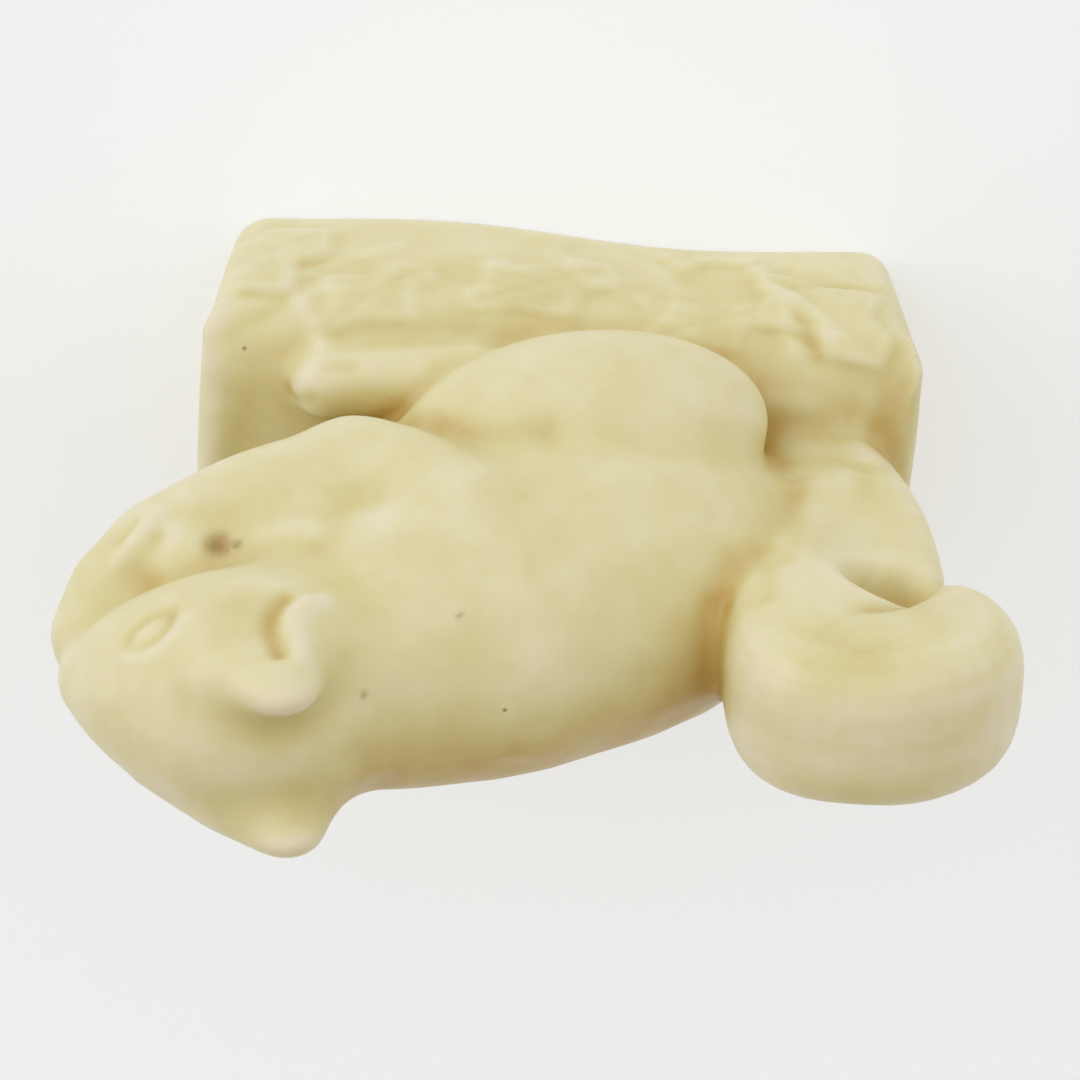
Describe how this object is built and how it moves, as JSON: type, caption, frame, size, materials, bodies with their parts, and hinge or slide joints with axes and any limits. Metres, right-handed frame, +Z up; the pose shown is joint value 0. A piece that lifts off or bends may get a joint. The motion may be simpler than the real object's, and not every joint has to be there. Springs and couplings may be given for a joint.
{
  "type": "pottery figurine",
  "caption": "Glazed pottery squirrel crouched on a log with low leaf carving, holding a nut to its mouth, its tail curled up behind.",
  "frame": {"origin": "centre of the log's underside", "axes": "+X along the log towards the squirrel's nose, +Y to the squirrel's left, +Z up"},
  "size_m": [0.1251, 0.0568, 0.1065],
  "materials": {
    "glaze": "pale yellow satin glaze over cream earthenware"
  },
  "bodies": {
    "root": {"squirrel_on_log": "glaze"}
  },
  "joints": []
}
